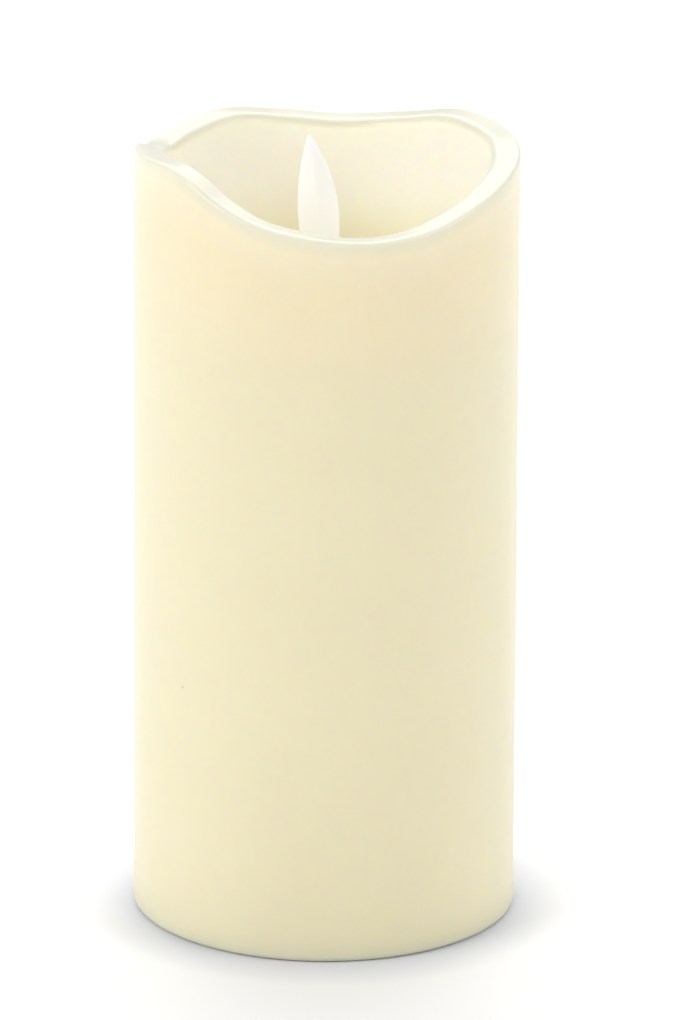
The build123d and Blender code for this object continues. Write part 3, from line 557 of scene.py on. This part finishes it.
flameValues = {
    "pivot": 112.1 * mm,
    "lean": 3.5,  # degrees to the left
    "height": 45.0 * mm,
    "width": 8.5 * mm,
    "thickness": 3.4 * mm,
    "boreRadius": 0.45 * mm,
    "boreLength": 12.0 * mm,
    "segments": 40,
    # up the flame: height, width and thickness as shares, sideways shift in mm, ridge
    "sections": [
        (-0.3333, 0.706, 1.765, -0.46, 2.0),
        (-0.3067, 0.706, 1.765, -0.46, 2.0),
        (-0.3060, 0.59, 0.88, 0.0, 4.0),
        (0.10, 0.59, 0.88, 0.0, 4.0),
        (0.16, 0.60, 0.88, 0.0, 3.2),
        (0.32, 0.65, 0.88, 0.0, 2.2),
        (0.42, 0.76, 0.92, 0.0, 1.8),
        (0.50, 0.86, 0.96, 0.0, 1.6),
        (0.57, 0.915, 1.00, 0.03, 1.45),
        (0.64, 0.94, 1.00, 0.03, 1.35),
        (0.70, 0.90, 0.98, 0.0, 1.3),
        (0.76, 0.81, 0.92, -0.12, 1.3),
        (0.82, 0.685, 0.83, -0.25, 1.3),
        (0.87, 0.545, 0.72, -0.37, 1.35),
        (0.915, 0.385, 0.58, -0.52, 1.4),
        (0.95, 0.235, 0.40, -0.72, 1.5),
        (0.970, 0.14, 0.24, -0.86, 1.7),
        (0.980, 0.08, 0.14, -0.95, 1.9),
        (0.985, 0.03, 0.05, -1.0, 2.0),
    ],
}

flameLooks = {
    "face": (0.93, 0.925, 0.935, 1),
    "roughness": 0.30,
    # painted glow: the blade gives off a faint light of its own
    "glow": 0.05,
    "depth": 0.1,
}


def flamePoint(angle, values, section):
    height, width, thickness, shift, ridge = section
    across, through = cos(angle), sin(angle)
    power = 2 / ridge
    return Vector((
        shift * mm + values["width"] / 2 * width * abs(across) ** power * (1 if across > 0 else -1),
        values["thickness"] / 2 * thickness * abs(through) ** power * (1 if through > 0 else -1),
        height * values["height"],
    ))


def flameMaterial(looks):
    material, tree, shader = newMaterial("milkyFlame")
    # the emission is painted glow
    setShader(
        shader, Subsurface_Weight=0.6, Subsurface_Scale=0.0015, Subsurface_Radius=(1.0, 0.95, 0.9),
        Emission_Color=(1.0, 0.985, 0.96, 1), Emission_Strength=looks["glow"],
    )
    skin = addGroup(tree, mottle, {
        "Color": looks["face"], "Shade": 0.015, "Size": 400.0,
        "Roughness": looks["roughness"], "Sheen": 0.08,
    })
    linkSurface(
        tree, shader, skin["Color"], skin["Roughness"], skin["Height"], 0.1, looks["depth"] * mm,
    )
    return material


def boreFlame(flame, values):
    # the hole that the pivot wire passes through, with room round the wire
    bm = bmesh.new()
    bmesh.ops.create_cone(
        bm, segments=24, radius1=values["boreRadius"], radius2=values["boreRadius"],
        depth=values["boreLength"], cap_ends=True,
    )
    turn = Matrix.Rotation(pi / 2, 4, "X")
    bmesh.ops.transform(bm, matrix=Matrix.Translation((0, 0, values["pivot"])) @ turn, verts=bm.verts)
    mesh = bpy.data.meshes.new("bore")
    bm.to_mesh(mesh)
    bm.free()
    bore = bpy.data.objects.new("bore", mesh)
    scene.collection.objects.link(bore)
    cut = flame.modifiers.new("bore", "BOOLEAN")
    cut.operation = "DIFFERENCE"
    cut.solver = "EXACT"
    cut.object = bore
    bpy.context.view_layer.update()
    cutFlame = flame.evaluated_get(bpy.context.evaluated_depsgraph_get())
    bored = bpy.data.meshes.new_from_object(cutFlame)
    flame.modifiers.remove(cut)
    flame.data = bored
    bpy.data.objects.remove(bore)


def buildFlame(values):
    bm = bmesh.new()
    bmesh.ops.create_circle(bm, segments=values["segments"], radius=1.0)
    place = bm.verts.layers.float.new("around")
    for vert in bm.verts:
        vert[place] = vert.co.xy.angle_signed(Vector((1, 0)))
    edges = bm.edges[:]
    for index, section in enumerate(values["sections"]):
        if index:
            grown = bmesh.ops.extrude_edge_only(bm, edges=edges)["geom"]
            edges = [item for item in grown if isinstance(item, bmesh.types.BMEdge) and item.is_boundary]
        for vert in {vert for edge in edges for vert in edge.verts}:
            vert.co = flamePoint(vert[place], values, section)
    bmesh.ops.contextual_create(bm, geom=edges)
    bmesh.ops.contextual_create(bm, geom=[edge for edge in bm.edges if edge.is_boundary])
    turn = Matrix.Rotation(-radians(values["lean"]), 4, "Y")
    bmesh.ops.transform(bm, matrix=Matrix.Translation((0, 0, values["pivot"])) @ turn, verts=bm.verts)
    bmesh.ops.recalc_face_normals(bm, faces=bm.faces)
    flame = pieceFromMesh("flameBlade", bm, "flame", ["flame_blade"])
    boreFlame(flame, values)
    flame.data.materials.append(flameMaterial(flameLooks))
    print("flame:", len(flame.data.polygons), "faces")


buildWax(waxValues)
buildFlame(flameValues)


# finishes of the core, base, door and other moulded pieces

plasticLooks = {
    "ivoryCore": {
        "nodes": ["core_tube"], "color": (0.80, 0.75, 0.60, 1), "roughness": 0.48,
        "shade": 0.06, "grain": 1500.0, "depth": 0.03, "glow": 0.4, "dust": 0.05,
    },
    "ivoryBase": {
        "nodes": ["base_cup"], "color": (0.82, 0.77, 0.61, 1), "roughness": 0.5,
        "shade": 0.06, "grain": 1800.0, "depth": 0.05, "glow": 0.15, "dust": 0.12,
    },
    "ivoryDoor": {
        "nodes": ["battery_door"], "color": (0.80, 0.745, 0.58, 1), "roughness": 0.46,
        "shade": 0.05, "grain": 1800.0, "depth": 0.05, "glow": 0.15, "dust": 0.16,
    },
    "blackKnob": {
        "nodes": ["switch_knob"], "color": (0.022, 0.022, 0.023, 1), "roughness": 0.52,
        "shade": 0.25, "grain": 2600.0, "depth": 0.05, "glow": 0.0, "dust": 0.10,
    },
    "blackHousing": {
        "nodes": ["housing_front", "housing_rear"],
        "color": (0.035, 0.035, 0.037, 1), "roughness": 0.42,
        "shade": 0.2, "grain": 1400.0, "depth": 0.04, "glow": 0.0, "dust": 0.05,
    },
    "whiteBobbin": {
        "nodes": ["coil_bobbin"], "color": (0.72, 0.71, 0.68, 1), "roughness": 0.35,
        "shade": 0.05, "grain": 2200.0, "depth": 0.02, "glow": 0.2, "dust": 0.03,
    },
    "chipBlack": {
        "nodes": ["control_chip", "transistor"], "color": (0.018, 0.018, 0.02, 1), "roughness": 0.6,
        "shade": 0.3, "grain": 5200.0, "depth": 0.04, "glow": 0.0, "dust": 0.06,
    },
    "capacitorBlue": {
        "nodes": ["capacitor"], "color": (0.012, 0.022, 0.075, 1), "roughness": 0.28,
        "shade": 0.15, "grain": 900.0, "depth": 0.02, "glow": 0.0, "dust": 0.04,
    },
    "resistorDark": {
        "nodes": ["resistors"], "color": (0.02, 0.02, 0.023, 1), "roughness": 0.4,
        "shade": 0.3, "grain": 6000.0, "depth": 0.03, "glow": 0.0, "dust": 0.05,
    },
    "redLead": {
        "nodes": ["battery_lead_red", "led_lead_red"],
        "color": (0.42, 0.012, 0.01, 1), "roughness": 0.36,
        "shade": 0.12, "grain": 1600.0, "depth": 0.02, "glow": 0.1, "dust": 0.05,
    },
    "blackLead": {
        "nodes": ["battery_lead_black", "led_lead_black"],
        "color": (0.015, 0.015, 0.016, 1), "roughness": 0.36,
        "shade": 0.25, "grain": 1600.0, "depth": 0.02, "glow": 0.0, "dust": 0.06,
    },
    "yellowLead": {
        "nodes": ["switch_leads"], "color": (0.66, 0.40, 0.02, 1), "roughness": 0.36,
        "shade": 0.1, "grain": 1600.0, "depth": 0.02, "glow": 0.1, "dust": 0.05,
    },
}


def finishNodes(material, names):
    for name in names:
        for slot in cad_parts[name].material_slots:
            slot.material = material


def plasticMaterial(name, looks):
    # moulded plastic: uneven shade, spark-eroded grain and a little dust
    material, tree, shader = newMaterial(name)
    setShader(shader, Subsurface_Weight=looks["glow"], Subsurface_Scale=0.002)
    shade = addGroup(tree, mottle, {
        "Color": looks["color"], "Shade": looks["shade"], "Size": 140.0,
        "Roughness": looks["roughness"], "Sheen": 0.1,
    })
    grain = addGroup(tree, mottle, {
        "Color": shade["Color"], "Shade": looks["shade"] * 0.6, "Size": looks["grain"],
        "Roughness": shade["Roughness"], "Sheen": 0.12,
    })
    dusty = addGroup(tree, handling, {"Color": grain["Color"], "Amount": looks["dust"]})
    linkSurface(
        tree, shader, dusty["Color"], grain["Roughness"], grain["Height"], 0.5, looks["depth"] * mm,
    )
    return material


for name, looks in plasticLooks.items():
    finishNodes(plasticMaterial(name, looks), looks["nodes"])
print("moulded pieces finished")


# finishes of screws, springs, contacts and wires

metalLooks = {
    "zincScrew": {
        "nodes": ["base_screws", "switch_screws", "housing_screws", "hang_screws", "board_screws"],
        "color": (0.56, 0.56, 0.55, 1), "shade": 0.25, "size": 1800.0,
        "roughness": 0.34, "spread": 0.3, "depth": 0.02,
    },
    "nickelContact": {
        "nodes": [
            "contact_positive", "contact_negative", "contact_spring", "bridge_contact", "door_spring",
            "switch_terminals", "led_legs",
        ],
        "color": (0.72, 0.69, 0.62, 1), "shade": 0.12, "size": 1400.0,
        "roughness": 0.2, "spread": 0.2, "depth": 0.01,
    },
    "switchCan": {
        "nodes": ["switch_body"],
        "color": (0.60, 0.60, 0.60, 1), "shade": 0.15, "size": 2200.0,
        "roughness": 0.3, "spread": 0.25, "depth": 0.01,
    },
    "steelPivot": {
        "nodes": ["pivot_wire"],
        "color": (0.60, 0.60, 0.61, 1), "shade": 0.1, "size": 3000.0,
        "roughness": 0.22, "spread": 0.2, "depth": 0.01,
    },
    "nickelMagnet": {
        "nodes": ["flame_magnet"],
        "color": (0.66, 0.66, 0.67, 1), "shade": 0.08, "size": 900.0,
        "roughness": 0.16, "spread": 0.15, "depth": 0.01,
    },
    "bareCopper": {
        "nodes": ["coil_leads"],
        "color": (0.70, 0.30, 0.14, 1), "shade": 0.15, "size": 2500.0,
        "roughness": 0.25, "spread": 0.2, "depth": 0.01,
    },
}
metalDust = (0.35, 0.33, 0.30, 1)


def metalMaterial(name, looks):
    # drawn or turned metal, a little dulled in patches
    material, tree, shader = newMaterial(name)
    setShader(shader, Metallic=1.0)
    lines = addGroup(tree, brushLines, {
        "Color": looks["color"], "Shade": looks["shade"], "Size": looks["size"],
        "Roughness": looks["roughness"], "Spread": looks["spread"],
    })
    dull = addGroup(tree, handling, {"Color": lines["Color"], "Dust": metalDust, "Amount": 0.35})
    linkSurface(
        tree, shader, dull["Color"], lines["Roughness"], lines["Height"], 0.4, looks["depth"] * mm,
    )
    return material


for name, looks in metalLooks.items():
    finishNodes(metalMaterial(name, looks), looks["nodes"])
print("metal pieces finished")


# finishes of the cells, winding, board and lamp

cellLooks = {
    "jacket": (0.012, 0.05, 0.03, 1),
    "band": (0.62, 0.42, 0.16, 1),
    "steel": (0.62, 0.61, 0.58, 1),
    "bandShare": 0.24,
    "endDepth": 0.7 * mm,
    "nub": 1.0 * mm,
}


def cellMaterial(name, node, nubUp, looks):
    # printed jacket with a gold band at the plus end, and bare steel at both ends
    low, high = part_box(node)
    material, tree, shader = newMaterial(name)
    setShader(shader, Coat_Weight=0.3, Coat_Roughness=0.12)
    height = addNode(tree, "SeparateXYZ", {0: objectPoint(tree)}).outputs["Z"]
    along = addNode(tree, "MapRange", {
        "Value": height, "From Min": low.z, "From Max": high.z,
    }).outputs[0]
    edge = 1 - looks["bandShare"] if nubUp else looks["bandShare"]
    beyond = "GREATER_THAN" if nubUp else "LESS_THAN"
    banded = addNode(tree, "Math", {0: along, 1: edge}, operation=beyond).outputs[0]
    lowEnd = low.z + looks["endDepth"] + (0 if nubUp else looks["nub"])
    highEnd = high.z - looks["endDepth"] - (looks["nub"] if nubUp else 0)
    below = addNode(tree, "Math", {0: height, 1: lowEnd}, operation="LESS_THAN").outputs[0]
    above = addNode(tree, "Math", {0: height, 1: highEnd}, operation="GREATER_THAN").outputs[0]
    bare = addNode(tree, "Math", {0: below, 1: above}, operation="MAXIMUM").outputs[0]
    printed = mixColors(tree, banded, looks["jacket"], looks["band"])
    film = addGroup(tree, mottle, {
        "Color": mixColors(tree, bare, printed, looks["steel"]),
        "Shade": 0.12, "Size": 300.0, "Roughness": 0.28, "Sheen": 0.12,
    })
    metallic = addNode(tree, "Math", {0: bare, 1: banded}, operation="MAXIMUM").outputs[0]
    linkSurface(tree, shader, film["Color"], film["Roughness"])
    tree.links.new(metallic, shader.inputs["Metallic"])
    return material


windingLooks = {
    "bright": (0.72, 0.30, 0.13, 1),
    "grooveShade": (0.30, 0.09, 0.03, 1),
    "pitch": 0.25 * mm,
    "depth": 0.1,
}
wavesPerUnit = 0.314  # scale at which the wave texture repeats once a unit


def windingMaterial(looks):
    # enamelled wire laid turn by turn, with painted shade in the grooves between turns
    material, tree, shader = newMaterial("copperWinding")
    setShader(shader, Metallic=1.0, Coat_Weight=0.5, Coat_Roughness=0.1)
    point = addNode(tree, "Mapping", {"Vector": objectPoint(tree), "Scale": (0.0, 0.0, 1.0)}).outputs[0]
    turns = addNode(tree, "TexWave", {
        "Vector": point, "Scale": wavesPerUnit / looks["pitch"], "Distortion": 0.0,
    }, bands_direction="Z").outputs["Fac"]
    shade = addGroup(tree, mottle, {
        "Color": mixColors(tree, turns, looks["grooveShade"], looks["bright"]),
        "Shade": 0.2, "Size": 500.0, "Roughness": 0.3, "Sheen": 0.1,
    })
    linkSurface(tree, shader, shade["Color"], shade["Roughness"], turns, 0.8, looks["depth"] * mm)
    return material


boardLooks = {
    "mask": (0.012, 0.085, 0.03, 1),
    "trace": (0.03, 0.17, 0.06, 1),
    "edge": (0.42, 0.38, 0.20, 1),
    "skin": 0.1 * mm,  # lacquer and copper, above and below the laminate
    "depth": 0.03,
}


def boardMaterial(looks):
    # green lacquer over copper traces, with the pale laminate at the cut edge
    low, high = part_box("circuit_board")
    material, tree, shader = newMaterial("greenBoard")
    setShader(shader, Coat_Weight=0.4, Coat_Roughness=0.15)
    point = objectPoint(tree)
    traces = addNode(tree, "TexBrick", {
        "Vector": point, "Scale": 260.0, "Mortar Size": 0.03,
        "Color1": looks["mask"], "Color2": looks["mask"], "Mortar": looks["trace"],
    })
    height = addNode(tree, "SeparateXYZ", {0: point}).outputs["Z"]
    lowSkin, highSkin = low.z + looks["skin"], high.z - looks["skin"]
    above = addNode(tree, "Math", {0: height, 1: lowSkin}, operation="GREATER_THAN").outputs[0]
    below = addNode(tree, "Math", {0: height, 1: highSkin}, operation="LESS_THAN").outputs[0]
    cutEdge = addNode(tree, "Math", {0: above, 1: below}, operation="MULTIPLY").outputs[0]
    shade = addGroup(tree, mottle, {
        "Color": mixColors(tree, cutEdge, traces.outputs["Color"], looks["edge"]),
        "Shade": 0.15, "Size": 400.0, "Roughness": 0.35, "Sheen": 0.15,
    })
    linkSurface(
        tree, shader, shade["Color"], shade["Roughness"], traces.outputs["Fac"], 0.5, looks["depth"] * mm,
    )
    return material


lampLooks = {
    "lens": (0.93, 0.91, 0.84, 1),
    "phosphor": (0.90, 0.72, 0.22, 1),
    "roughness": 0.08,
    "phosphorFull": 2.5 * mm,  # heights above the lamp's foot
    "phosphorEnd": 5.5 * mm,
}


def lampMaterial(looks):
    # clear resin, with the yellow phosphor showing through near the foot
    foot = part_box("led_lamp")[0].z
    material, tree, shader = newMaterial("lampResin")
    setShader(shader, IOR=1.5, Transmission_Weight=0.55)
    height = addNode(tree, "SeparateXYZ", {0: objectPoint(tree)}).outputs["Z"]
    depth = addNode(tree, "MapRange", {
        "Value": height, "From Min": foot + looks["phosphorEnd"], "From Max": foot + looks["phosphorFull"],
    }).outputs[0]
    shade = addGroup(tree, mottle, {
        "Color": mixColors(tree, depth, looks["lens"], looks["phosphor"]),
        "Shade": 0.04, "Size": 500.0, "Roughness": looks["roughness"], "Sheen": 0.04,
    })
    linkSurface(tree, shader, shade["Color"], shade["Roughness"])
    return material


for name, node, nubUp in (
    ("cellJacketLeft", "battery_cell_left", True),
    ("cellJacketRight", "battery_cell_right", False),
):
    finishNodes(cellMaterial(name, node, nubUp, cellLooks), [node])
finishNodes(windingMaterial(windingLooks), ["coil_winding"])
finishNodes(boardMaterial(boardLooks), ["circuit_board"])
finishNodes(lampMaterial(lampLooks), ["led_lamp"])
print("cells, coil, board and lamp finished")
